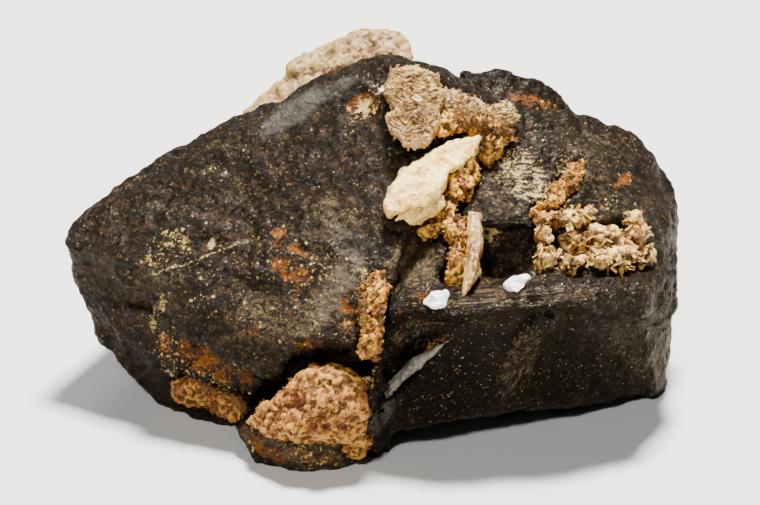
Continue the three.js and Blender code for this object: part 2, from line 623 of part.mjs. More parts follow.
// The origin is the middle of the specimen's footprint, on the surface it stands on.
const bounds = new THREE.Box3().setFromObject(specimen);
const middle = bounds.getCenter(new THREE.Vector3());
specimen.position.set(-middle.x, -middle.y, -bounds.min.z);

export default specimen;
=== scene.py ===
"""The looks of a ferberite after scheelite specimen: dark drusy crystals with quartz and ochre iron oxide.

Lengths in the classes are millimetres, and MM turns them into the metres that Blender works in. Marks and small
crystals are placed as they are read from the front: across, up that view and toward the viewer.
"""

import logging
import math
from dataclasses import dataclass, field
from enum import Enum

import bpy
import numpy as np
from mathutils import Euler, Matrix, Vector, noise


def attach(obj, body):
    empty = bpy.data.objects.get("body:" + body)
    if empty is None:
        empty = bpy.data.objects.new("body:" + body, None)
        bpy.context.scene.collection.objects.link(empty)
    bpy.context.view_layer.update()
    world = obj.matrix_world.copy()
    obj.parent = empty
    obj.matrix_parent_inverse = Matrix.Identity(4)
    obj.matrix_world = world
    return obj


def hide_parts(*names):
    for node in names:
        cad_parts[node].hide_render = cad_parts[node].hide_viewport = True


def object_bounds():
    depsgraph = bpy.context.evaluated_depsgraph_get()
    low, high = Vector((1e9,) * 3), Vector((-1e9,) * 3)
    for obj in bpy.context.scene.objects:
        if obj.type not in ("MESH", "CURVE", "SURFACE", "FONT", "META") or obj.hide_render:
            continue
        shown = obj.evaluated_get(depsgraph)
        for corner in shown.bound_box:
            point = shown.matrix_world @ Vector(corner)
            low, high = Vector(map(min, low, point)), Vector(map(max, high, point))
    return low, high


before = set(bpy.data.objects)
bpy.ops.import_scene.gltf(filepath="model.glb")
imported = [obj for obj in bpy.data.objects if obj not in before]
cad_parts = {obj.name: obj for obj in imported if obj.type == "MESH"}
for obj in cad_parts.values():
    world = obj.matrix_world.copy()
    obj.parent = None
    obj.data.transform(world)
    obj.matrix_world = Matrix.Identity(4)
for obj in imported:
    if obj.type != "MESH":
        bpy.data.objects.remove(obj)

CAD_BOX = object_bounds()
MM = 0.001
log = logging.getLogger("specimen")


# The front view

@dataclass(frozen=True)
class FrontView:
    """The view that places are read from: a viewer who looks down on the specimen from the front."""

    tilt_deg: float = 25.0
    distance: float = 600.0
    middle: tuple[float, float, float] = (-0.494, -6.608, 21.9)

    def axes(self) -> np.ndarray:
        """Rows of the view's own directions: across, up and toward the viewer."""
        tilt = math.radians(self.tilt_deg)
        return np.array([
            [1.0, 0.0, 0.0],
            [0.0, math.sin(tilt), math.cos(tilt)],
            [0.0, -math.cos(tilt), math.sin(tilt)],
        ])

    def place(self, across: float, up: float, toward: float) -> Vector:
        """Finds a place of the view in the specimen's own axes.

        Args:
            across: How far to the right it is seen, in mm.
            up: How far up it is seen, in mm.
            toward: How far it is toward the viewer, in mm.

        Returns:
            The place in metres.
        """
        real = 1 - toward / self.distance
        local = np.array([across * real, up * real, toward])
        return Vector((local @ self.axes() + np.array(self.middle)) * MM)

    def read(self, points: np.ndarray) -> np.ndarray:
        """Reads across, up and toward, in mm, for rows of points in metres."""
        local = (points / MM - np.array(self.middle)) @ self.axes().T
        nearness = 1 - local[:, 2:3] / self.distance
        return np.hstack([local[:, :2] / nearness, local[:, 2:3]])


VIEW = FrontView()


# Shader maths

class Field:
    """A socket of a material, with operators that add Math nodes, so that maths reads as an expression."""

    def __init__(self, maker: "Nodes", socket: bpy.types.NodeSocket) -> None:
        """Wraps a socket of the maker's material."""
        self.maker = maker
        self.socket = socket

    def maths(self, operation: str, *others: "Field | float", clamp: bool = False) -> "Field":
        """Adds a Math node that starts with this socket.

        Args:
            operation: The Math node's operation.
            others: Its further inputs.
            clamp: Whether the result is kept from 0 to 1.

        Returns:
            The node's result.
        """
        settings = {"operation": operation, "use_clamp": clamp}
        inputs = dict(enumerate((self, *others)))
        return self.maker.make("ShaderNodeMath", settings, inputs)

    def __add__(self, other: "Field | float") -> "Field":
        """Adds."""
        return self.maths("ADD", other)

    def __radd__(self, other: "Field | float") -> "Field":
        """Adds, with the plain number first."""
        return self.maths("ADD", other)

    def __sub__(self, other: "Field | float") -> "Field":
        """Subtracts."""
        return self.maths("SUBTRACT", other)

    def __rsub__(self, other: float) -> "Field":
        """Subtracts this from a plain number."""
        return self.maker.number(other).maths("SUBTRACT", self)

    def __mul__(self, other: "Field | float") -> "Field":
        """Multiplies."""
        return self.maths("MULTIPLY", other)

    def __rmul__(self, other: "Field | float") -> "Field":
        """Multiplies, with the plain number first."""
        return self.maths("MULTIPLY", other)

    def kept(self) -> "Field":
        """Keeps the value from 0 to 1."""
        return self.maths("ADD", 0.0, clamp=True)

    def step(self, start: float, end: float) -> "Field":
        """Goes smoothly from 0 at start to 1 at end."""
        settings = {"interpolation_type": "SMOOTHSTEP"}
        return self.maker.make("ShaderNodeMapRange", settings, {0: self, 1: start, 2: end})


class Nodes:
    """Adds nodes to one material."""

    def __init__(self, name: str) -> None:
        """Starts a material with an empty node tree."""
        self.material = bpy.data.materials.new(name)
        self.material.use_nodes = True
        self.tree = self.material.node_tree
        self.tree.nodes.clear()

    def make(self, kind: str, settings: dict | None = None, inputs: dict | None = None,
             output: int | str = 0) -> Field:
        """Adds one node.

        Args:
            kind: The node's type.
            settings: Its own settings, which are set first.
            inputs: Values or links of its sockets, by name or number.
            output: Which of its outputs is given back.

        Returns:
            The chosen output.
        """
        node = self.tree.nodes.new(kind)
        for key, value in (settings or {}).items():
            setattr(node, key, value)
        for key, value in (inputs or {}).items():
            if isinstance(value, Field):
                self.tree.links.new(value.socket, node.inputs[key])
            else:
                node.inputs[key].default_value = value
        return Field(self, node.outputs[output])

    def number(self, value: float) -> Field:
        """A plain number as a socket."""
        return self.make("ShaderNodeMath", {"operation": "ADD"}, {0: value, 1: 0.0})

    def place(self) -> Field:
        """The place on the specimen, in mm."""
        coordinates = self.make("ShaderNodeTexCoord", output="Object")
        return self.scaled(coordinates, 1 / MM)

    def scaled(self, vector: Field, scale: float) -> Field:
        """A vector times a plain number."""
        return self.make("ShaderNodeVectorMath", {"operation": "SCALE"}, {0: vector, "Scale": scale})

    def vector(self, operation: str, first: Field, second: "Field | tuple") -> Field:
        """Adds a Vector Math node of two inputs."""
        return self.make("ShaderNodeVectorMath", {"operation": operation}, {0: first, 1: second})

    def noise(self, place: Field, size: float, detail: float = 3.0, rough: float = 0.55,
              warp: float = 0.0, output: str = "Fac") -> Field:
        """Cloudy noise from 0 to 1 with features of a size in mm."""
        inputs = {"Vector": place, "Scale": 1 / size, "Detail": detail, "Roughness": rough, "Distortion": warp}
        return self.make("ShaderNodeTexNoise", None, inputs, output)

    def cells(self, place: Field, size: float, feature: str = "F1", output: str = "Distance") -> Field:
        """Cells of a size in mm: the distance to, or the colour of, the nearest."""
        return self.make("ShaderNodeTexVoronoi", {"feature": feature}, {"Vector": place, "Scale": 1 / size},
                         output)

    def stretched(self, place: Field, along: tuple[float, float, float],
                  sizes: tuple[float, float, float]) -> Field:
        """Coordinates for streaks along a direction, with their length, width and depth in mm."""
        settings = {"vector_type": "TEXTURE"}
        inputs = {"Vector": place, "Rotation": tuple(turned_to(along)), "Scale": sizes}
        return self.make("ShaderNodeMapping", settings, inputs)

    def painted(self, attribute: str) -> list[Field]:
        """The four channels of a colour attribute."""
        source = self.tree.nodes.new("ShaderNodeAttribute")
        source.attribute_name = attribute
        parts = self.tree.nodes.new("ShaderNodeSeparateColor")
        self.tree.links.new(source.outputs["Color"], parts.inputs[0])
        return [Field(self, socket) for socket in (*parts.outputs, source.outputs["Alpha"])]

    def blend(self, share: "Field | float", first: "Field | tuple", second: "Field | tuple",
              mode: str = "MIX") -> Field:
        """Mixes two colours.

        Args:
            share: How much of the second, from 0 to 1.
            first: The colour at 0.
            second: The colour at 1.
            mode: How the second is laid over the first.

        Returns:
            The mixed colour.
        """
        settings = {"data_type": "RGBA", "blend_type": mode, "clamp_factor": True}
        return self.make("ShaderNodeMix", settings, {0: share, 6: first, 7: second}, 2)

    def bump(self, height: Field, depth: float, strength: float = 1.0, under: Field | None = None) -> Field:
        """Small relief.

        Args:
            height: Height from 0 to 1.
            depth: What 1 stands for, in mm.
            strength: Share of the effect.
            under: The relief that this one lies on.

        Returns:
            The bumped normal.
        """
        inputs: dict = {"Height": height, "Distance": depth * MM, "Strength": strength}
        if under is not None:
            inputs["Normal"] = under
        return self.make("ShaderNodeBump", inputs=inputs)

    def glinting(self, place: Field, size: float, tilt: "Field | float") -> Field:
        """A normal that leans another way on each cell of a size in mm, as on a druse of tiny faces."""
        lean = self.cells(place, size, output="Color")
        centred = self.vector("SUBTRACT", lean, (0.5, 0.5, 0.5))
        amount = tilt if isinstance(tilt, Field) else self.number(tilt)
        shift = self.make("ShaderNodeVectorMath", {"operation": "SCALE"}, {0: centred, "Scale": amount})
        normal = self.make("ShaderNodeNewGeometry", output="Normal")
        summed = self.vector("ADD", normal, shift)
        return self.make("ShaderNodeVectorMath", {"operation": "NORMALIZE"}, {0: summed})

    def finish(self, **sockets: "Field | float | tuple") -> bpy.types.Material:
        """Ends the material in a Principled shader with these sockets, named with _ for spaces."""
        inputs = {name.replace("_", " "): value for name, value in sockets.items()}
        shader = self.make("ShaderNodeBsdfPrincipled", inputs=inputs)
        self.make_output(shader)
        return self.material

    def make_output(self, shader: Field) -> None:
        """Links a shader to the material's output."""
        output = self.tree.nodes.new("ShaderNodeOutputMaterial")
        self.tree.links.new(shader.socket, output.inputs["Surface"])


def linear(red: int, green: int, blue: int) -> tuple[float, float, float, float]:
    """The linear colour, with full alpha, of a colour given from 0 to 255 as screens show it."""
    def one(value: int) -> float:
        share = value / 255
        return share / 12.92 if share <= 0.04045 else ((share + 0.055) / 1.055) ** 2.4
    return one(red), one(green), one(blue), 1.0


# Marks on the ferberite

def turned_to(along: tuple[float, float, float]) -> Euler:
    """The turn that lays the first axis along a direction."""
    return Vector(along).to_track_quat("X", "Z").to_euler()


class Mark(Enum):
    """What a mark on the ferberite is of. The value is its channel: which attribute, and which part of it."""

    RUST = ("stains", 0)
    OCHRE = ("stains", 1)
    BLUE = ("stains", 2)
    CREAM = ("stains", 3)
    FRESH_AND_PAINTED_SHADE = ("faces", 0)
    PALE = ("faces", 1)
    STRINGER = ("faces", 2)
    COMBED = ("grooves", 0)
    LEDGED = ("grooves", 1)
    FLUTED = ("grooves", 2)


class Grooves(Enum):
    """Growth grooves on the ferberite: each one's mark, and the direction it runs in."""

    COMBED = (0.45, 0.38, 0.81)
    LEDGED = (1.0, 0.0, 0.05)
    FLUTED = (0.0, 0.1, 1.0)


@dataclass(frozen=True)
class Stringer:
    """A hair-thin seam of cream crystals: a point that it is seen to run through, its slope and half width."""

    across: float = -20.6
    up: float = -0.9
    slope_deg: float = 19.0
    half_width: float = 0.085

    def field(self, nodes: "Nodes", place: Field, waver: Field) -> Field:
        """1 on the seam and 0 off it.

        Args:
            nodes: The material's maker.
            place: The place on the specimen, in mm.
            waver: Noise from 0 to 1 that bends the seam.

        Returns:
            How much of the seam is at the place.
        """
        slope = math.radians(self.slope_deg)
        aside = np.array([-math.sin(slope), math.cos(slope), 0]) @ VIEW.axes()
        offset = float(np.array(VIEW.place(self.across, self.up, 14.0)) @ aside) / MM
        distance = nodes.make("ShaderNodeVectorMath", {"operation": "DOT_PRODUCT"},
                              {0: place, 1: tuple(aside)}, "Value")
        gap = (distance - offset + (waver - 0.5) * 1.6).maths("ABSOLUTE")
        return 1 - gap.step(self.half_width * 0.4, self.half_width * 1.8)


@dataclass(frozen=True)
class Spot:
    """One soft-edged mark, as an ellipse in the front view, on whatever faces the viewer there."""

    mark: Mark
    across: float
    up: float
    half_length: float
    half_width: float
    turn_deg: float = 0.0
    strength: float = 1.0

    def reach(self, seen: np.ndarray) -> np.ndarray:
        """How strong the mark is at rows of across, up and toward."""
        turn = math.radians(self.turn_deg)
        along = (seen[:, 0] - self.across) * math.cos(turn) + (seen[:, 1] - self.up) * math.sin(turn)
        aside = -(seen[:, 0] - self.across) * math.sin(turn) + (seen[:, 1] - self.up) * math.cos(turn)
        distance = np.hypot(along / self.half_length, aside / self.half_width)
        share = np.clip(1.5 - distance, 0, 1)
        return self.strength * share * share * (3 - 2 * share)


def spots() -> list[Spot]:
    """The marks on the front of the ferberite."""
    return [
        # The bevel along the top left, and the blue-grey streak on it, which is painted sheen
        Spot(Mark.BLUE, -9.2, 16.6, 5.6, 1.5, 33, 1.0),
        Spot(Mark.BLUE, -3.6, 19.6, 2.6, 0.9, 33, 0.7),
        Spot(Mark.PALE, -16, 13, 8, 2.2, 30, 0.5),
        # The broad face
        Spot(Mark.BLUE, -2.0, 0.4, 4.6, 2.0, -28, 0.65),
        Spot(Mark.BLUE, -4.4, -5.0, 6.6, 2.0, 55, 0.6),
        Spot(Mark.BLUE, -6.4, 1.6, 3.6, 2.6, 10, 0.35),
        Spot(Mark.PALE, -4.4, 3.6, 4.4, 3.8, 20, 0.75),
        Spot(Mark.PALE, -4.2, -4.6, 7.0, 2.6, 55, 1.0),
        Spot(Mark.PALE, -8.6, 1.4, 4.8, 3.6, 0, 0.4),
        Spot(Mark.PALE, -14, -2.4, 5.4, 2.6, 20, 0.45),
        Spot(Mark.PALE, -12.4, -8.4, 7.4, 4.6, -10, 0.75),
        Spot(Mark.PALE, -25, -4.6, 5.4, 4.6, 0, 0.65),
        Spot(Mark.RUST, -9.8, -1.8, 2.4, 1.9, 40, 0.95),
        Spot(Mark.RUST, -8.2, -3.2, 1.8, 1.5, 0, 0.8),
        Spot(Mark.RUST, -13.4, -9.4, 1.2, 0.9, 0, 0.9),
        Spot(Mark.RUST, -10.4, 0.9, 2.6, 1.5, -30, 0.5),
        Spot(Mark.RUST, -20, -6, 3.4, 1.6, -40, 0.35),
        Spot(Mark.OCHRE, -23.6, 1.2, 2.4, 1.8, 0, 0.85),
        Spot(Mark.OCHRE, -25.6, -0.8, 1.6, 1.1, 0, 0.8),
        Spot(Mark.OCHRE, -25.4, -7.4, 2.6, 0.9, 75, 0.9),
        Spot(Mark.OCHRE, -24.4, -10.6, 1.8, 0.9, 60, 0.7),
        Spot(Mark.OCHRE, -29.6, -3.2, 1.2, 0.8, 0, 0.6),
        Spot(Mark.OCHRE, -12.4, -2, 1.5, 1.2, 0, 0.5),
        Spot(Mark.OCHRE, -9, -3, 9, 6, -20, 0.28),
        Spot(Mark.OCHRE, -16, -6, 8, 4, -30, 0.22),
        Spot(Mark.RUST, -8.8, -6.4, 1.2, 2.6, 0, 0.6),
        Spot(Mark.RUST, -11.6, 2.2, 3.0, 0.8, -55, 0.6),
        Spot(Mark.OCHRE, -6.6, -8.6, 1.0, 0.9, 0, 0.5),
        Spot(Mark.OCHRE, -2.2, 4.6, 1.2, 0.9, 0, 0.6),
        Spot(Mark.OCHRE, -9.8, 9.6, 1.1, 0.8, 0, 0.5),
        Spot(Mark.OCHRE, -3.6, 13.2, 1.4, 0.9, 0, 0.5),
        Spot(Mark.OCHRE, -19.4, 9.8, 1.2, 0.8, 0, 0.4),
        Spot(Mark.STRINGER, -20.6, -0.9, 5.2, 1.2, 19, 1.0),
        Spot(Mark.CREAM, -19.1, 0.7, 0.9, 0.5, 70, 0.85),
        Spot(Mark.CREAM, -0.6, 17.6, 3.4, 0.9, 32, 0.6),
        Spot(Mark.CREAM, 2.4, 14.4, 0.8, 1.4, 0, 0.6),
        Spot(Mark.OCHRE, -0.2, 17.2, 3.0, 1.1, 32, 0.9),
        Spot(Mark.RUST, 0.2, 18.0, 3.2, 1.3, 25, 0.95),
        # The rusty shelf at the lower left
        Spot(Mark.RUST, -20.4, -13.2, 4.2, 1.8, -35, 1.0),
        Spot(Mark.RUST, -16.6, -15, 4.0, 2.4, -20, 0.8),
        Spot(Mark.RUST, -24.2, -11.4, 1.8, 1.4, -50, 0.8),
        Spot(Mark.OCHRE, -23.4, -13.6, 2.4, 1.3, -40, 0.8),
        Spot(Mark.OCHRE, -19.2, -16.4, 3.6, 1.5, -20, 0.7),
        Spot(Mark.CREAM, -22.8, -15.4, 2.6, 0.9, -30, 0.7),
        Spot(Mark.PALE, -29, -8, 4.4, 2.6, -50, 0.5),
        # The cleft and the toe
        Spot(Mark.RUST, -8, -11.4, 3.4, 1.2, 8, 0.75),
        Spot(Mark.RUST, -4.8, -11.2, 3.0, 1.2, 0, 0.7),
        Spot(Mark.RUST, -13.6, -22.6, 3.4, 2.2, -30, 0.9),
        Spot(Mark.OCHRE, -6, -24.4, 5.4, 2.4, 0, 0.55),
        Spot(Mark.PALE, -7, -23.6, 6.4, 3.0, 0, 1.0),
        Spot(Mark.RUST, -8.4, -25, 5.2, 1.6, 0, 0.8),
        Spot(Mark.BLUE, 1.2, -20.4, 3.4, 0.8, 55, 1.4),
        Spot(Mark.OCHRE, -0.4, -7.2, 1.1, 6.4, 0, 0.9),
        Spot(Mark.OCHRE, -0.6, -14.8, 1.3, 3.0, 0, 1.2),
        Spot(Mark.RUST, -2.4, -8.4, 1.3, 4.2, 0, 0.85),
        # Beside the vein
        Spot(Mark.OCHRE, 6.6, 3.6, 3.2, 1.8, -20, 0.7),
        Spot(Mark.RUST, 3.2, 18.6, 2.6, 2.2, 0, 0.5),
        Spot(Mark.RUST, 10.6, 16.4, 2.8, 1.8, 0, 0.7),
        Spot(Mark.OCHRE, 9.6, 13.4, 2.6, 2.6, 0, 0.6),
        Spot(Mark.CREAM, 13.6, 13.6, 2.8, 0.8, 48, 0.6),
        Spot(Mark.RUST, 6.4, -5.2, 2.6, 0.6, 12, 0.6),
        Spot(Mark.RUST, 10.2, -4.2, 1.2, 0.7, 0, 0.8),
        Spot(Mark.RUST, 7.4, -11.9, 3.2, 0.6, 42, 1.2),
        Spot(Mark.OCHRE, 14.4, 1.8, 1.6, 1.2, 0, 0.8),
        Spot(Mark.RUST, 13.8, -4.4, 1.4, 0.6, 0, 0.6),
        # The upper faces on the right
        Spot(Mark.PALE, 16, 8.4, 4.8, 4.6, 0, 0.7),
        Spot(Mark.OCHRE, 17.4, 9.8, 3.8, 2.6, -20, 0.75),
        Spot(Mark.CREAM, 19.6, 7.4, 3.4, 2.6, 30, 0.7),
        Spot(Mark.CREAM, 22.6, 9, 3.4, 1.6, 52, 0.7),
        Spot(Mark.OCHRE, 22.4, 6, 2.6, 1.8, 40, 0.7),
        Spot(Mark.PALE, 27, 11.6, 6.4, 3.8, -16, 0.7),
        Spot(Mark.PALE, 29, 3, 5.4, 5.4, 0, 0.65),
        Spot(Mark.RUST, 30.6, 8.6, 1.0, 0.9, 0, 1.0),
        Spot(Mark.RUST, 29.4, 7.4, 0.7, 0.6, 0, 0.8),
        Spot(Mark.OCHRE, 31.4, 4.2, 1.2, 0.8, 0, 0.8),
        Spot(Mark.OCHRE, 28, 5.4, 4.2, 1.2, 0, 0.4),
        Spot(Mark.CREAM, 26.4, 0.8, 6.2, 3.4, 0, 0.6),
        Spot(Mark.OCHRE, 21.6, -1.8, 2.4, 1.4, 0, 0.6),
        Spot(Mark.RUST, 19.4, 17.8, 3.2, 1.0, -18, 1.0),
        Spot(Mark.RUST, 16.4, 18.6, 1.6, 0.8, 0, 0.6),
        # The dark lower faces and the dark step, whose near-black colour is partly their own and partly painted
        # shade
        Spot(Mark.FRESH_AND_PAINTED_SHADE, 16.6, 0.4, 3.2, 2.6, 0, 0.3),
        # Painted light: a paler colour on the shadowed dark step and on the leaning facet beside the vein
        Spot(Mark.PALE, 16, 0.2, 3.4, 2.6, 0, 0.8),
        Spot(Mark.PALE, 5.2, -1.6, 3.8, 3.4, 0, 1.0),
        Spot(Mark.FRESH_AND_PAINTED_SHADE, 8, -14.4, 8.4, 7.4, 0, 1.0),
        Spot(Mark.FRESH_AND_PAINTED_SHADE, 24, -13, 13, 5.8, 0, 0.9),
        Spot(Mark.COMBED, 18, -13.4, 6.2, 2.4, 62, 1.0),
        Spot(Mark.COMBED, 26, -13, 7, 5, 0, 0.45),
        Spot(Mark.COMBED, 5.2, -10.2, 4.0, 2.4, 20, 0.9),
        Spot(Mark.LEDGED, 18, -5.6, 16, 1.6, 3, 1.0),
        Spot(Mark.LEDGED, 8, -8.2, 5, 1.2, 10, 0.8),
        Spot(Mark.FLUTED, 34.4, -6, 2.2, 12, 0, 0.55),
        Spot(Mark.PALE, 30, -13, 6.4, 3.2, 0, 0.25),
    ]


# Modelling by hand

def only(piece: bpy.types.Object) -> None:
    """Selects one object and makes it the active one."""
    if bpy.context.object and bpy.context.object.mode != "OBJECT":
        bpy.ops.object.mode_set(mode="OBJECT")
    bpy.ops.object.select_all(action="DESELECT")
    piece.select_set(True)
    bpy.context.view_layer.objects.active = piece


def modified(piece: bpy.types.Object, kind: str, **settings: object) -> None:
    """Adds a modifier with these settings and applies it."""
    only(piece)
    bpy.ops.object.modifier_add(type=kind)
    modifier = piece.modifiers[-1]
    for key, value in settings.items():
        setattr(modifier, key, value)
    bpy.ops.object.modifier_apply(modifier=modifier.name)


def copied(node: str, name: str) -> bpy.types.Object:
    """A closed copy of a CAD node's solid, free of its body."""
    only(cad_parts[node])
    bpy.ops.object.duplicate()
    piece = bpy.context.object
    piece.name = piece.data.name = name
    piece.parent = None
    for key in list(piece.keys()):
        del piece[key]
    piece.data.materials.clear()
    bpy.ops.object.mode_set(mode="EDIT")
    bpy.ops.mesh.select_all(action="SELECT")
    bpy.ops.mesh.remove_doubles(threshold=0.002 * MM)
    bpy.ops.object.mode_set(mode="OBJECT")
    return piece


def corners(piece: bpy.types.Object) -> np.ndarray:
    """The piece's vertices, as rows, in metres."""
    places = np.empty(len(piece.data.vertices) * 3)
    piece.data.vertices.foreach_get("co", places)
    return places.reshape(-1, 3)


def normals(piece: bpy.types.Object) -> np.ndarray:
    """The piece's vertex normals, as rows."""
    facing = np.empty(len(piece.data.vertices) * 3, np.float32)
    piece.data.vertex_normals.foreach_get("vector", facing)
    return facing.reshape(-1, 3).astype(float)


def neighbour_mean(piece: bpy.types.Object, values: np.ndarray, rounds: int) -> np.ndarray:
    """Averages rows of values with their neighbours' a number of times."""
    ends = np.empty(len(piece.data.edges) * 2, np.int64)
    piece.data.edges.foreach_get("vertices", ends)
    first, second = ends.reshape(-1, 2).T
    size = len(values)
    count = np.bincount(first, minlength=size) + np.bincount(second, minlength=size)
    for _ in range(rounds):
        total = np.empty_like(values)
        for axis in range(values.shape[1]):
            column = values[:, axis]
            total[:, axis] = np.bincount(first, column[second], size) + np.bincount(second, column[first], size)
        values = total / count[:, None]
    return values


def hollowness(piece: bpy.types.Object, rounds: int, depth: float) -> np.ndarray:
    """How hollow the surface is at each vertex, from 0 on a ridge through 0.5 to 1 in a pit of a depth in mm."""
    places = corners(piece)
    offset = ((neighbour_mean(piece, places, rounds) - places) * normals(piece)).sum(axis=1)
    return np.clip(0.5 + offset / (2 * depth * MM), 0, 1)


class Texture(Enum):
    """The patterns that raise and lower a surface: a texture's type and its own settings."""

    CLOUDS = ("CLOUDS", {"noise_type": "SOFT_NOISE", "noise_depth": 3})
    CREASES = ("CLOUDS", {"noise_type": "HARD_NOISE", "noise_depth": 2})
    GRAINS = ("VORONOI", {"distance_metric": "DISTANCE"})
    SCALES = ("VORONOI", {"distance_metric": "CHEBYCHEV"})


@dataclass(frozen=True)
class Relief:
    """One layer of unevenness: its pattern, the size of its features, its whole height, and where it lies."""

    texture: Texture
    size: float
    height: float
    level: float = 0.5
    group: str = ""
    along: tuple[float, float, float] = (1.0, 0.0, 0.0)
    stretch: tuple[float, float, float] = (1.0, 1.0, 1.0)

    def apply(self, piece: bpy.types.Object) -> None:
        """Raises and lowers the piece's surface."""
        kind, settings = self.texture.value
        pattern = bpy.data.textures.new(f"{piece.name}_relief", kind)
        for key, value in settings.items():
            setattr(pattern, key, value)
        pattern.noise_scale = 1.0
        scale = [self.size * MM * factor for factor in self.stretch]
        bpy.ops.object.select_all(action="DESELECT")
        bpy.ops.object.empty_add(location=(0, 0, 0), rotation=turned_to(self.along))
        holder = bpy.context.object
        holder.scale = scale
        bpy.context.view_layer.update()
        modified(piece, "DISPLACE", texture=pattern, texture_coords="OBJECT", texture_coords_object=holder,
                 strength=self.height * MM, mid_level=self.level, vertex_group=self.group)
        bpy.data.objects.remove(holder)
        bpy.data.textures.remove(pattern)


@dataclass(frozen=True)
class Druse:
    """Small pointed crystals that stand on a piece: how many, how long and wide in mm, and how flat."""

    count: int
    length: tuple[float, float]
    width: tuple[float, float]
    flatness: float = 1.0
    lean: float = 0.6
    seed: int = 7

    def template(self) -> bpy.types.Object:
        """One six-sided crystal, 1 long and 1 wide, that stands on its end and comes to a point."""
        bpy.ops.object.select_all(action="DESELECT")
        bpy.ops.mesh.primitive_cylinder_add(vertices=6, radius=0.5, depth=0.7, location=(0, 0, 0.35))
        crystal = bpy.context.object
        bpy.ops.object.transform_apply(location=True)
        for face in crystal.data.polygons:
            face.select = face.normal.z > 0.9
        bpy.ops.object.mode_set(mode="EDIT")
        bpy.ops.mesh.select_mode(type="FACE")
        bpy.ops.mesh.extrude_region_move(TRANSFORM_OT_translate={"value": (0, 0, 0.3)})
        bpy.ops.mesh.merge(type="CENTER")
        bpy.ops.object.mode_set(mode="OBJECT")
        return crystal

    def grow(self, piece: bpy.types.Object, wanted: np.ndarray | None = None) -> None:
        """Grows the crystals on the piece and joins them to it.

        Args:
            piece: The piece, evenly meshed.
            wanted: How likely a crystal is at each vertex, or nothing where all are alike.
        """
        random = np.random.default_rng(self.seed)
        crystal = self.template()
        shape = corners(crystal)
        faces = [tuple(face.vertices) for face in crystal.data.polygons]
        bpy.data.objects.remove(crystal)
        places, facing = corners(piece), normals(piece)
        odds = None if wanted is None else wanted / wanted.sum()
        chosen = random.choice(len(places), self.count, replace=False, p=odds)
        axis = facing[chosen] + self.lean * random.normal(size=(self.count, 3))
        axis /= np.linalg.norm(axis, axis=1)[:, None]
        side = np.cross(axis, random.normal(size=(self.count, 3)))
        side /= np.linalg.norm(side, axis=1)[:, None]
        third = np.cross(axis, side)
        length = random.uniform(*self.length, self.count)[:, None, None] * MM
        width = random.uniform(*self.width, self.count)[:, None, None] * MM
        roots = (places[chosen] - axis * length[:, 0] * 0.35)[:, None]
        x, y, z = (shape[None, :, number:number + 1] for number in range(3))
        grown = roots + x * width * side[:, None] + y * width * self.flatness * third[:, None] \
            + z * length * axis[:, None]
        step = len(shape)
        mesh = bpy.data.meshes.new("druse")
        mesh.from_pydata(grown.reshape(-1, 3).tolist(), [],
                         [tuple(corner + number * step for corner in face)
                          for number in range(self.count) for face in faces])
        depth = np.tile(0.62 - 0.3 * shape[:, 2], self.count)
        shade = mesh.color_attributes.new("relief", "FLOAT_COLOR", "POINT")
        shade.data.foreach_set("color", np.repeat(depth, 4).astype(np.float32))
        druse = bpy.data.objects.new("druse", mesh)
        bpy.context.scene.collection.objects.link(druse)
        only(piece)
        druse.select_set(True)
        bpy.ops.object.join()


@dataclass(frozen=True)
class Leaves:
    """Thin crystal leaves on edge: the direction across them, their thickness, raggedness and height in mm."""

    across: tuple[float, float, float]
    thickness: float
    raggedness: float
    height: float
    patch: float = 1.6

    def cut(self, piece: bpy.types.Object) -> None:
        """Draws the piece's surface into steps, one for each leaf."""
        places = corners(piece)
        way = np.array(Vector(self.across).normalized())
        waver = np.array([noise.noise(Vector(place) / (self.patch * MM)) for place in places])
        turns = (places @ way / MM + self.raggedness * waver) / self.thickness
        step = (turns - np.floor(turns)) - 0.6
        places += normals(piece) * (self.height * step * MM)[:, None]
        piece.data.vertices.foreach_set("co", places.ravel())
        piece.data.update()


def rounded(piece: bpy.types.Object, factor: float, rounds: int) -> None:
    """Takes the sharpness off a piece's edges."""
    modified(piece, "SMOOTH", factor=factor, iterations=rounds)


def meshed_anew(piece: bpy.types.Object, size: float) -> None:
    """Covers a piece with even faces of a size in mm."""
    modified(piece, "REMESH", mode="VOXEL", voxel_size=size * MM)


def grouped(piece: bpy.types.Object, name: str, weights: np.ndarray) -> None:
    """Makes a vertex group from one weight a vertex, in steps of a sixteenth."""
    group = piece.vertex_groups.new(name=name)
    steps = np.rint(np.clip(weights, 0, 1) * 16).astype(int)
    for step in range(1, 17):
        members = np.flatnonzero(steps == step)
        if len(members):
            group.add(members.tolist(), step / 16, "REPLACE")


def painted(piece: bpy.types.Object, name: str, channels: np.ndarray) -> None:
    """Stores rows of four values as a colour attribute of the vertices."""
    attribute = piece.data.color_attributes.new(name, "FLOAT_COLOR", "POINT")
    attribute.data.foreach_set("color", channels.astype(np.float32).ravel())


def kept_inside(piece: bpy.types.Object) -> None:
    """Presses what stands out of the CAD model's box back to the box's sides."""
    places = np.clip(corners(piece), *CAD_BOX)
    piece.data.vertices.foreach_set("co", places.ravel())
    piece.data.update()


def settled(piece: bpy.types.Object, node: str, material: bpy.types.Material) -> None:
    """Dresses a finished piece, hides the CAD node it stands for and lets it ride on the specimen's body."""
    only(piece)
    kept_inside(piece)
    bpy.ops.object.shade_smooth_by_angle(angle=math.radians(38))
    piece.data.materials.clear()
    piece.data.materials.append(material)
    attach(piece, "root")
    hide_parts(node)
    log.info("%s: %d vertices", piece.name, len(piece.data.vertices))


# Finishes

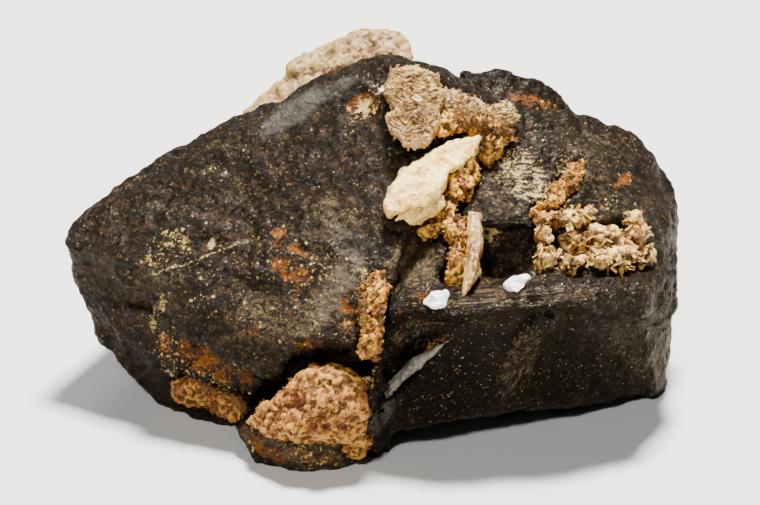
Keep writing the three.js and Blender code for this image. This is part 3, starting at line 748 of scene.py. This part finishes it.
@dataclass(frozen=True)
class FerberiteFinish:
    """Brown-black submetallic ferberite with a finely drusy skin, dust in its hollows, stains and smooth blue-grey
    patches, with painted light in its colour: sheen on the blue-grey patches, highlights on groove ridges and tiny
    faces, glints among the specks, shade in the relief and on the dark lower faces, and paler colour on two
    shadowed faces.
    """

    dark: tuple = linear(11, 8, 5)
    brown: tuple = linear(68, 44, 21)
    dust: tuple = linear(142, 106, 56)
    rust: tuple = linear(158, 88, 8)
    deep_rust: tuple = linear(66, 30, 2)
    ochre: tuple = linear(222, 178, 78)
    blue: tuple = linear(104, 98, 91)
    cream: tuple = linear(240, 206, 138)
    pale: tuple = linear(122, 101, 70)
    speck: tuple = linear(172, 150, 92)
    sheen: tuple = linear(116, 97, 72)
    gleam: tuple = linear(255, 234, 210)

    def material(self) -> bpy.types.Material:
        """Builds the material."""
        nodes = Nodes("ferberite")
        place = nodes.place()
        rust, ochre, blue, cream = nodes.painted("stains")
        fresh_and_painted_shade, pale, seamed, hollow = nodes.painted("faces")
        grooved = nodes.painted("grooves")
        coarse = nodes.noise(place, 3.4, 4, 0.6, 0.4)
        laid = nodes.stretched(place, (1.0, 0.1, -0.22), (1.7, 0.8, 0.8))
        fine = nodes.noise(laid, 0.95, 5, 0.7, 0.7)
        grain = nodes.noise(place, 0.22, 3, 0.6)
        ragged = coarse * 1.3 + fine * 1.9 + grain * 0.8 - 2.0
        crack = 1 - (nodes.noise(laid, 1.5, 4, 0.65, 0.5) - 0.5).maths("ABSOLUTE").step(0.01, 0.07)
        crack = crack * (coarse + grain * 0.6 - 0.62).step(0.0, 0.25)
        clear_of_coat = 1 - fresh_and_painted_shade * 0.8

        lumps = nodes.vector("ADD", place, nodes.scaled(nodes.noise(place, 1.6, output="Color"), 1.1))
        height = fine * 1.3 - nodes.cells(lumps, 0.85) * 0.7 - crack * 0.3
        broad = nodes.noise(place, 9.0, 2)
        # Lighter on the relief's highs and darker in its pits: painted shade, mixed with random tone
        tone = nodes.blend((coarse * 0.5 + broad * 0.5 + height * 0.9 + grain * 1.3 - 1.1).step(0.24, 0.7),
                           self.dark, self.brown)
        dusty = ((hollow - 0.5) * 0.5 + ragged * 0.35 + grain * 0.8 - 0.42).step(0.0, 0.6) * clear_of_coat
        colour = nodes.blend(dusty * 0.45, tone, self.dust)
        # Paler colour: a pale coat on most faces, and painted light on two shadowed faces
        veil_and_painted_light = (pale * 1.1 + ragged * 1.0 + grain * 0.8 - 0.9).step(0.0, 0.7)
        colour = nodes.blend(veil_and_painted_light * 0.72, colour, self.pale)
        # Painted sheen: a blue-grey colour on patches that are also smoother, and on the bevel's streak
        satin_and_painted_sheen = (blue * 1.15 + ragged * 0.8 - 0.32).step(0.0, 0.8)
        colour = nodes.blend(satin_and_painted_sheen * 0.66, colour, self.blue)
        colour = nodes.blend(crack * 0.95 * (1 - satin_and_painted_sheen * 0.7), colour, self.dark)
        rusty = (rust * 1.2 + ragged * 1.1 + (hollow - 0.5) * 0.8 - 0.7).step(0.0, 0.6)
        rust_tone = nodes.blend((grain * 0.6 + fine * 0.4).step(0.38, 0.6), self.deep_rust, self.rust)
        colour = nodes.blend((rusty * (0.25 + grain * 1.2)).kept(), colour, rust_tone)
        yellow = (ochre * 1.1 + ragged * 1.3 + (hollow - 0.5) * 0.6 - 0.9).step(0.0, 0.3)
        bare = 1 - fresh_and_painted_shade * 0.5
        ragged_place = nodes.vector("ADD", place, nodes.scaled(nodes.noise(place, 0.34, output="Color"), 0.5))
        for share, size in ((ochre * 0.5 + rust * 0.2 + 0.05 * bare, 0.62), (ochre * 0.5 + 0.07 * bare, 0.3)):
            yellow = (yellow + self.flecks(nodes, ragged_place, share, size)).kept()
        colour = nodes.blend(yellow * 0.9, colour, nodes.blend(coarse.step(0.3, 0.7), self.ochre, self.cream))
        creamy = (cream * 1.2 + ragged * 1.2 - 0.75).step(0.0, 0.3)
        broken = (fine + grain - 0.9).step(0.0, 0.2)
        thread = Stringer().field(nodes, place, nodes.noise(place, 1.5, 4, 0.7)) * broken
        creamy = (creamy + thread * seamed.step(0.05, 0.3)).kept()
        colour = nodes.blend(creamy * 0.95, colour, self.cream)
        # Near-black on the lower faces and the dark step: partly their own colour and partly painted shade
        colour = nodes.blend(fresh_and_painted_shade * 0.85 * (1 - rusty) * (1 - creamy) * (1 - yellow), colour, self.dark)
        # Light specks, more of them on the dark lower faces: partly grains and partly painted glints
        speckled = self.flecks(nodes, nodes.scaled(place, 1.07), 0.16 + fine * 0.1 + fresh_and_painted_shade * 0.08, 0.34)
        colour = nodes.blend(speckled * (1 - coarse * 0.5), colour, self.speck)

        coated = (rusty + yellow + creamy).kept()
        plates = nodes.noise(place, 2.6, 5, 0.62, 0.5)
        flakes = nodes.noise(place, 1.1, 3, 0.6, 0.3)
        skin = nodes.glinting(place, 0.3, (0.2 + fresh_and_painted_shade * 0.25) * (1 - satin_and_painted_sheen * 0.8) * (1 - coated * 0.6))
        skin = nodes.bump(plates.maths("SNAP", 0.035), 6.5, 1.0, skin)
        skin = nodes.bump(flakes.maths("SNAP", 0.07), 3.6, 1.0, skin)
        skin = nodes.bump(height, 2.3, 1.0, skin)
        skin = nodes.bump(grain, 0.24, 1.0, skin)
        for groove, share in zip(Grooves, grooved):
            lines = nodes.noise(nodes.stretched(place, groove.value, (5.0, 0.32, 0.32)), 1.0, 3, 0.6)
            skin = nodes.bump(lines * share, 1.1, 1.0, skin)
            # Painted highlight: a lighter colour on the ridges of the grooves
            colour = nodes.blend((lines * share).step(0.42, 0.62) * 0.8, colour, self.sheen)
        shining = self.shining(nodes, place)
        rough = 0.34 - fresh_and_painted_shade * 0.06 + fine * 0.14 - shining * 0.2 + coated * 0.4 + dusty * 0.1 + satin_and_painted_sheen * 0.08
        metal = (0.28 + fresh_and_painted_shade * 0.4 + shining * 0.5 - coated * 0.5 - dusty * 0.2 - satin_and_painted_sheen * 0.1).kept()
        # Painted glint: a lighter colour on the tiny mirror-like faces, on top of their real gloss
        colour = nodes.blend(shining * (1 - coated) * (1 - fresh_and_painted_shade * 0.6) * 0.6, colour, self.sheen)
        return nodes.finish(Base_Color=colour, Roughness=rough.kept(), Metallic=metal, Normal=skin,
                            IOR=1.5, Specular_IOR_Level=0.36, Specular_Tint=self.gleam)

    def shining(self, nodes: Nodes, place: Field) -> Field:
        """1 on the few tiny faces that are bare and mirror-like, and 0 elsewhere."""
        chance = nodes.cells(place, 0.3, output="Color").maths("FRACT")
        return chance.step(0.86, 0.87)

    def flecks(self, nodes: Nodes, place: Field, share: Field, size: float) -> Field:
        """Small round grains, one in some of the cells of a size in mm: the ochre flecks and the light specks.

        Args:
            nodes: The material's maker.
            place: The place on the specimen, in mm.
            share: How many of the cells hold a grain.
            size: The cells' size in mm.

        Returns:
            1 on a grain, and 0 elsewhere.
        """
        grain = nodes.cells(place, size)
        chance = nodes.cells(place, size, output="Color").maths("FRACT")
        return (0.34 - grain).step(0.0, 0.08) * (share - chance).step(0.0, 0.02)


@dataclass(frozen=True)
class MineralFinish:
    """Quartz or iron oxide: two tones, a stain in patches and hollows, painted shade in the deepest hollows, grain
    and gloss.
    """

    name: str
    light: tuple
    shade: tuple
    stain: tuple
    stained: float
    rough: float
    grain: float = 0.4
    relief: float = 0.12
    glint: float = 0.35
    glow: float = 0.0
    through: float = 0.0
    patch: float = 3.0

    def material(self) -> bpy.types.Material:
        """Builds the material."""
        nodes = Nodes(self.name)
        place = nodes.place()
        hollow = nodes.painted("relief")[0]
        coarse = nodes.noise(place, self.patch, 4, 0.6, 0.6)
        fine = nodes.noise(place, self.grain, 4, 0.65)
        flakes = nodes.noise(place, 0.9, 4, 0.65, 0.5).maths("SNAP", 0.06)
        tone = nodes.blend((coarse * 0.9 + fine * 0.8 - 0.32).step(0.36, 0.64), self.shade, self.light)
        dirty = ((hollow - 0.5) * 0.9 + coarse * 0.9 + fine * 0.7 + (self.stained - 1.3)).step(0.0, 0.5)
        colour = nodes.blend(dirty * 0.85, tone, self.stain)
        # Painted shade: darker brown in the deepest hollows
        painted_deep_shade = (hollow + fine * 0.4).step(0.8, 1.2)
        colour = nodes.blend(painted_deep_shade * 0.35, colour, (0.06, 0.025, 0.006, 1.0))
        skin = nodes.glinting(place, self.grain * 0.9, self.glint)
        skin = nodes.bump(flakes, 1.1, 1.0, skin)
        skin = nodes.bump(fine, self.relief, 0.8, skin)
        rough = (self.rough + dirty * 0.3 + fine * 0.14 - 0.06).kept()
        return nodes.finish(Base_Color=colour, Roughness=rough, Normal=skin, IOR=1.54,
                            Transmission_Weight=self.through, Subsurface_Weight=self.glow,
                            Subsurface_Radius=(1.0, 0.75, 0.5), Subsurface_Scale=0.9 * MM)


# Pieces

@dataclass
class Ferberite:
    """The grown-together ferberite crystals, as one closed piece."""

    face_size: float = 0.42
    reliefs: list[Relief] = field(default_factory=lambda: [
        Relief(Texture.CLOUDS, 7.5, 1.1),
        Relief(Texture.CREASES, 4.4, -1.1, 0.4, "aged"),
        Relief(Texture.CLOUDS, 2.4, 0.6, 0.5, "aged"),
        Relief(Texture.SCALES, 1.7, -0.14, 0.4),
        Relief(Texture.CLOUDS, 1.2, 0.28),
        *(Relief(Texture.CLOUDS, 1.0, 0.4, 0.5, groove.name, groove.value, (7.0, 1.1, 1.1)) for groove in Grooves),
    ])

    def build(self) -> bpy.types.Object:
        """Builds the piece and marks it."""
        piece = copied("ferberite_crystals", "ferberite")
        meshed_anew(piece, self.face_size)
        rounded(piece, 0.5, 3)
        marks = self.marks(piece)
        grouped(piece, "aged", 1 - 0.75 * marks["faces"][:, 0])
        for number, groove in enumerate(Grooves):
            grouped(piece, groove.name, marks["grooves"][:, number])
        for relief in self.reliefs:
            relief.apply(piece)
        self.paint(piece)
        settled(piece, "ferberite_crystals", FerberiteFinish().material())
        return piece

    def marks(self, piece: bpy.types.Object) -> dict[str, np.ndarray]:
        """How strongly each mark lies on each vertex, as four channels for each attribute."""
        seen = VIEW.read(corners(piece))
        facing = np.clip(normals(piece) @ VIEW.axes()[2] * 2.2 + 0.35, 0, 1)
        channels = {name: np.zeros((len(seen), 4)) for name in ("stains", "faces", "grooves")}
        for spot in spots():
            name, channel = spot.mark.value
            column = channels[name][:, channel]
            np.maximum(column, spot.reach(seen) * facing, out=column)
        return channels

    def paint(self, piece: bpy.types.Object) -> None:
        """Stores the marks and the hollows for the finish to read."""
        channels = self.marks(piece)
        channels["faces"][:, 3] = 0.6 * hollowness(piece, 4, 0.09) + 0.4 * hollowness(piece, 24, 0.4)
        for name, values in channels.items():
            painted(piece, name, values)


@dataclass
class Mineral:
    """A mineral that grew on the ferberite, from its CAD solid: evenly meshed, swollen a little and broken up."""

    node: str
    slot: str
    finish: MineralFinish
    face_size: float = 0.16
    swell: float = 0.12
    reliefs: list[Relief] = field(default_factory=list)
    druses: list[Druse] = field(default_factory=list)
    leaves: Leaves | None = None

    def build(self) -> bpy.types.Object:
        """Builds the piece."""
        piece = copied(self.node, f"{self.node}_surface")
        meshed_anew(piece, self.face_size)
        rounded(piece, 0.5, 4)
        if self.swell:
            modified(piece, "DISPLACE", strength=self.swell * MM, mid_level=0.0)
        for relief in self.reliefs:
            relief.apply(piece)
        if self.leaves:
            self.leaves.cut(piece)
        depth = hollowness(piece, 8, 0.09)
        painted(piece, "relief", np.column_stack([depth, depth, depth, np.ones_like(depth)]))
        for druse in self.druses:
            druse.grow(piece)
        settled(piece, self.node, self.finish.material())
        return piece


CREAM = dict(light=linear(255, 226, 134), shade=linear(232, 172, 64), stain=linear(156, 74, 10))
MASSIVE = dict(light=linear(176, 144, 80), shade=linear(108, 76, 30), stain=linear(104, 50, 10))
CRUST = dict(light=linear(238, 194, 104), shade=linear(150, 92, 24), stain=linear(84, 38, 4))
CLOUDY = dict(light=linear(222, 180, 104), shade=linear(140, 94, 36), stain=linear(130, 62, 8))
STAINED = dict(light=linear(194, 138, 38), shade=linear(128, 62, 1), stain=linear(82, 34, 0))
OXIDE = dict(light=linear(230, 168, 48), shade=linear(136, 68, 4), stain=linear(62, 24, 1))
GREY = dict(light=linear(112, 106, 94), shade=linear(62, 58, 50), stain=linear(140, 66, 12))
WHITE = dict(light=linear(255, 253, 248), shade=linear(244, 240, 232), stain=linear(214, 196, 172))


def minerals() -> list[Mineral]:
    """The minerals on the ferberite, each with its own finish and unevenness."""
    massy = [Relief(Texture.CLOUDS, 3.6, 1.6), Relief(Texture.CREASES, 2.6, -1.3, 0.4),
             Relief(Texture.CLOUDS, 0.9, 0.4)]
    rugged = [Relief(Texture.CLOUDS, 3.8, 1.8), Relief(Texture.CREASES, 2.4, -1.0, 0.4),
              Relief(Texture.CLOUDS, 1.2, 0.6), Relief(Texture.CREASES, 0.8, -0.3, 0.4)]
    angular = [Relief(Texture.CREASES, 3.0, 1.6), Relief(Texture.SCALES, 1.9, -1.2, 0.4),
               Relief(Texture.CLOUDS, 0.8, 0.35)]
    drawn = [Relief(Texture.CLOUDS, 2.2, 0.7),
             Relief(Texture.CLOUDS, 0.8, 0.35, 0.5, "", (0.12, 0.0, 1.0), (5.0, 1.0, 1.0))]
    crumbly = [Relief(Texture.CLOUDS, 3.2, 2.4, 0.52), Relief(Texture.CREASES, 1.5, -0.8, 0.4),
               Relief(Texture.CLOUDS, 0.8, 0.5), Relief(Texture.SCALES, 0.7, -0.25, 0.4)]
    smooth = [Relief(Texture.CLOUDS, 3.4, 0.9), Relief(Texture.CREASES, 2.4, -0.9, 0.4),
              Relief(Texture.SCALES, 1.3, -0.45, 0.4)]
    leaves = [Relief(Texture.SCALES, 1.8, -0.4, 0.4), Relief(Texture.CREASES, 2.4, -0.8, 0.4),
              Relief(Texture.CLOUDS, 0.9, 0.25)]
    lamellae = Leaves((0.14, 0.42, 0.9), 0.48, 1.1, 0.26, 1.5)
    specks = Druse(240, (0.5, 1.1), (0.25, 0.6), 0.3, 0.9)
    shards = Druse(80, (0.8, 2.0), (0.4, 1.0), 0.25, 0.8)
    grains = Druse(620, (0.4, 1.0), (0.25, 0.6), 0.35, 0.9)
    blades = Druse(140, (1.4, 3.2), (0.5, 1.2), 0.3, 0.9)
    cream = MineralFinish("cream_quartz", stained=0.28, rough=0.4, glow=0.25, **CREAM)
    massive = MineralFinish("massive_quartz", stained=0.45, rough=0.5, glow=0.15, **MASSIVE)
    crusty = MineralFinish("crusty_quartz", stained=0.6, rough=0.45, **CRUST)
    cloudy = MineralFinish("cloudy_quartz", stained=0.55, rough=0.3, glow=0.2, through=0.3, **CLOUDY)
    stained = MineralFinish("stained_quartz", stained=0.85, rough=0.75, glint=0.25, patch=3.4, **STAINED)
    oxide = MineralFinish("iron_oxide", stained=0.7, rough=0.75, glint=0.25, **OXIDE)
    grey = MineralFinish("grey_seam_quartz", stained=0.4, rough=0.35, **GREY)
    white = MineralFinish("white_chip", stained=-0.4, rough=0.45, **WHITE)
    return [
        Mineral("quartz_behind_peak", "quartz_cream", massive, 0.24, 0.12, massy),
        Mineral("quartz_blade", "quartz_cream", cream, 0.14, 0.3, smooth),
        Mineral("quartz_splinter", "quartz_cream", cloudy, 0.12, 0.05, drawn),
        Mineral("quartz_upper_plate", "quartz_clear", cloudy, 0.14, 0.15, leaves, [shards], lamellae),
        Mineral("quartz_shoulder_plate", "quartz_clear", cloudy, 0.14, 0.15, leaves, [specks], lamellae),
        Mineral("white_chip_left", "quartz_white", white, 0.1, 0.05, smooth),
        Mineral("white_chip_right", "quartz_white", white, 0.1, 0.05, smooth),
        Mineral("upper_vein_crust", "iron_oxide", oxide, 0.16, -0.3, crumbly, [specks]),
        Mineral("lower_vein_crust", "iron_oxide", oxide, 0.16, -0.3, crumbly, [specks]),
        Mineral("pocket_crust", "quartz_cream", crusty, 0.16, 0.0, angular, [blades, specks]),
        Mineral("slope_patch", "iron_oxide", oxide, 0.16, -0.65, crumbly, [specks]),
        Mineral("quartz_on_toe", "quartz_stained", stained, 0.18, 0.0, rugged, [grains]),
        Mineral("ochre_vein", "iron_oxide", oxide, 0.16, -0.4, crumbly, [specks]),
        Mineral("diagonal_seam", "quartz_clear", grey, 0.14, -0.1, drawn),
        Mineral("shelf_quartz", "quartz_stained", stained, 0.16, -0.3, crumbly, [specks]),
    ]


# The studio

@dataclass(frozen=True)
class Softbox:
    """A square area light: where it hangs as seen from the specimen, its width and its power in watts."""

    name: str
    azimuth_deg: float
    elevation_deg: float
    distance: float
    width: float
    power: float

    def hang(self) -> None:
        """Adds the light, turned to the specimen."""
        azimuth = math.radians(self.azimuth_deg)
        elevation = math.radians(self.elevation_deg)
        aim = Vector((0, 0, 0.02))
        way = Vector((math.cos(elevation) * math.sin(azimuth), -math.cos(elevation) * math.cos(azimuth),
                      math.sin(elevation)))
        bpy.ops.object.light_add(type="AREA", location=aim + way * self.distance)
        lamp = bpy.context.object
        lamp.name = self.name
        lamp.rotation_euler = way.to_track_quat("Z", "Y").to_euler()
        lamp.data.size = self.width
        lamp.data.energy = self.power


@dataclass
class Studio:
    """A plain pale floor, soft lights and the camera."""

    sensor: float = 36.0
    photo_width: int = 760
    photo_scale: float = 0.12
    aim_across: float = 1.2
    aim_up: float = -0.3
    floor_half: float = 3.0
    floor_colour: tuple = linear(202, 200, 196)
    softboxes: tuple[Softbox, ...] = (
        Softbox("key_light", 150, 80, 0.55, 0.1, 17.0),
        Softbox("front_light", -20, 40, 0.7, 0.08, 4.0),
        Softbox("back_light", 190, 48, 0.6, 0.25, 1.2),
    )

    def build(self) -> None:
        """Builds all of it."""
        self.floor()
        for softbox in self.softboxes:
            softbox.hang()
        self.camera()
        world = bpy.data.worlds.new("soft_room")
        world.use_nodes = True
        world.node_tree.nodes["Background"].inputs["Color"].default_value = (1, 1, 1, 1)
        world.node_tree.nodes["Background"].inputs["Strength"].default_value = 0.05
        bpy.context.scene.world = world

    def floor(self) -> None:
        """Adds the floor."""
        bpy.ops.object.select_all(action="DESELECT")
        bpy.ops.mesh.primitive_plane_add(size=2 * self.floor_half, location=(0, 0, 0))
        floor = bpy.context.object
        floor.name = "floor"
        nodes = Nodes("floor")
        tint = nodes.noise(nodes.place(), 60.0, 2)
        lighter = tuple(min(1.0, part * 1.04) for part in self.floor_colour)
        floor.data.materials.append(
            nodes.finish(Base_Color=nodes.blend(tint, self.floor_colour, lighter), Roughness=0.8))

    def camera(self) -> None:
        """Adds the camera at the photograph's viewing angle."""
        bpy.ops.object.camera_add(location=VIEW.place(0, 0, 0))
        camera = bpy.context.object
        camera.location = VIEW.place(0, 0, 0) + Vector(
            (np.array([self.aim_across, self.aim_up, VIEW.distance]) @ VIEW.axes()) * MM)
        camera.rotation_euler = (math.radians(90 - VIEW.tilt_deg), 0, 0)
        camera.data.sensor_width = self.sensor
        camera.data.lens = self.sensor * VIEW.distance / (self.photo_width * self.photo_scale)
        camera.data.clip_start = 0.01
        bpy.context.scene.camera = camera


def main() -> None:
    """Builds the studio and the specimen, and logs each piece's vertex count."""
    logging.basicConfig(level=logging.INFO, format="%(message)s")
    Studio().build()
    Ferberite().build()
    for mineral in minerals():
        mineral.build()


if __name__ == "__main__":
    main()
